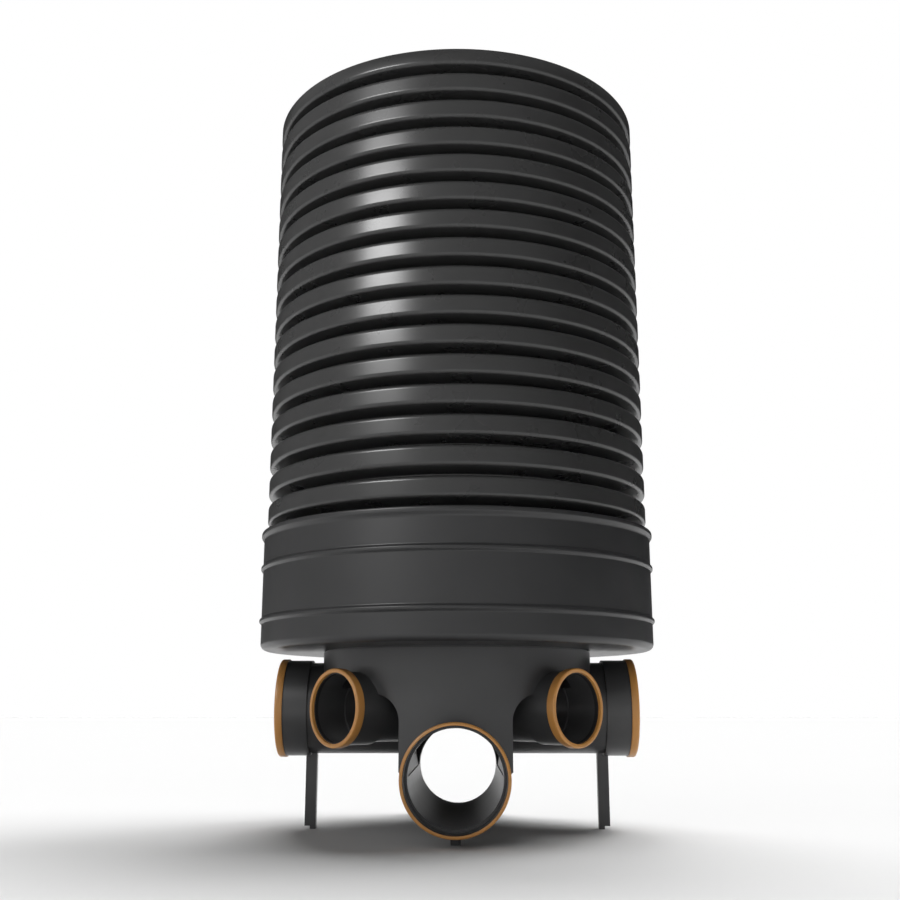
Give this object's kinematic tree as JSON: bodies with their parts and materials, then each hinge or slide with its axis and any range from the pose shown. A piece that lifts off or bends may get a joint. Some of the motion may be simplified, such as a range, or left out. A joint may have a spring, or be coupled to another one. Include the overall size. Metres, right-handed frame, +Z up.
{
  "type": "drain inspection chamber",
  "caption": "Moulded drain inspection chamber base with six capped pipe sockets, a wide socket collar on its neck and a corrugated riser pipe.",
  "frame": {"origin": "on the ground under the riser's axis", "axes": "+Z up along the riser, -Y out of the front socket, +X out of the right side socket"},
  "size_m": [0.72, 0.7198, 1.3236],
  "materials": {
    "base_plastic": "satin moulded black polypropylene",
    "collar_plastic": "satin moulded black polypropylene",
    "pipe_plastic": "satin extruded black polypropylene",
    "cap_plastic": "satin moulded terracotta plastic",
    "seal_rubber": "soft black rubber"
  },
  "bodies": {
    "root": {"chamber_base": "base_plastic", "riser_collar": "collar_plastic", "riser_pipe": "pipe_plastic", "neck_seal": "seal_rubber", "riser_seal": "seal_rubber", "front_cap": "cap_plastic", "front_seal": "seal_rubber", "right_cap": "cap_plastic", "right_seal": "seal_rubber", "rear_cap": "cap_plastic", "rear_seal": "seal_rubber", "left_cap": "cap_plastic", "left_seal": "seal_rubber", "branch_right_cap": "cap_plastic", "branch_right_seal": "seal_rubber", "branch_left_cap": "cap_plastic", "branch_left_seal": "seal_rubber"}
  },
  "joints": []
}
